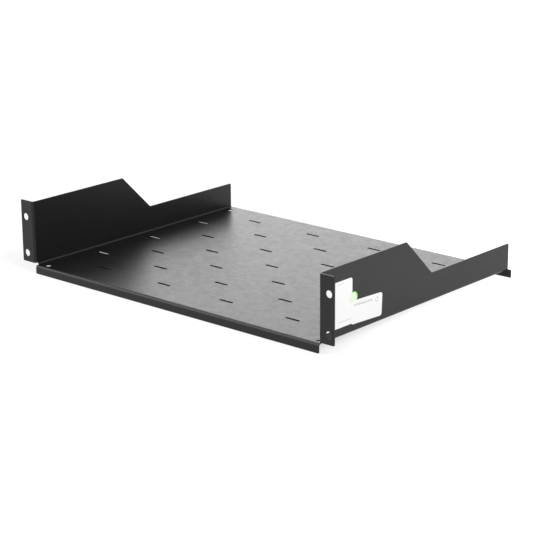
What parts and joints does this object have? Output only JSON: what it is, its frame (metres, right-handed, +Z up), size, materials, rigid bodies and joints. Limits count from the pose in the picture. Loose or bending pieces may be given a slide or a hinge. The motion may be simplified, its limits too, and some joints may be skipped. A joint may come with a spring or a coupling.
{
  "type": "rack shelf",
  "caption": "Low rack shelf folded from one steel sheet, with a slotted deck, lips under its front and rear, stepped sides and screw ears folded out at the front.",
  "frame": {"origin": "midway along the width and the depth, level with the foot of the two lips", "axes": "+X to the right of a person facing the ears, +Y from the ears to the rear, +Z up from the lips' foot"},
  "size_m": [0.48, 0.349, 0.0881],
  "materials": {
    "powder_coat": "satin black powder coat with a fine grain",
    "label_paper": "smooth white label paper",
    "sticker_paper": "pale green sticker paper"
  },
  "bodies": {
    "root": {"shelf": "powder_coat", "tall_label": "label_paper", "wide_label": "label_paper", "round_sticker": "sticker_paper"}
  },
  "joints": []
}
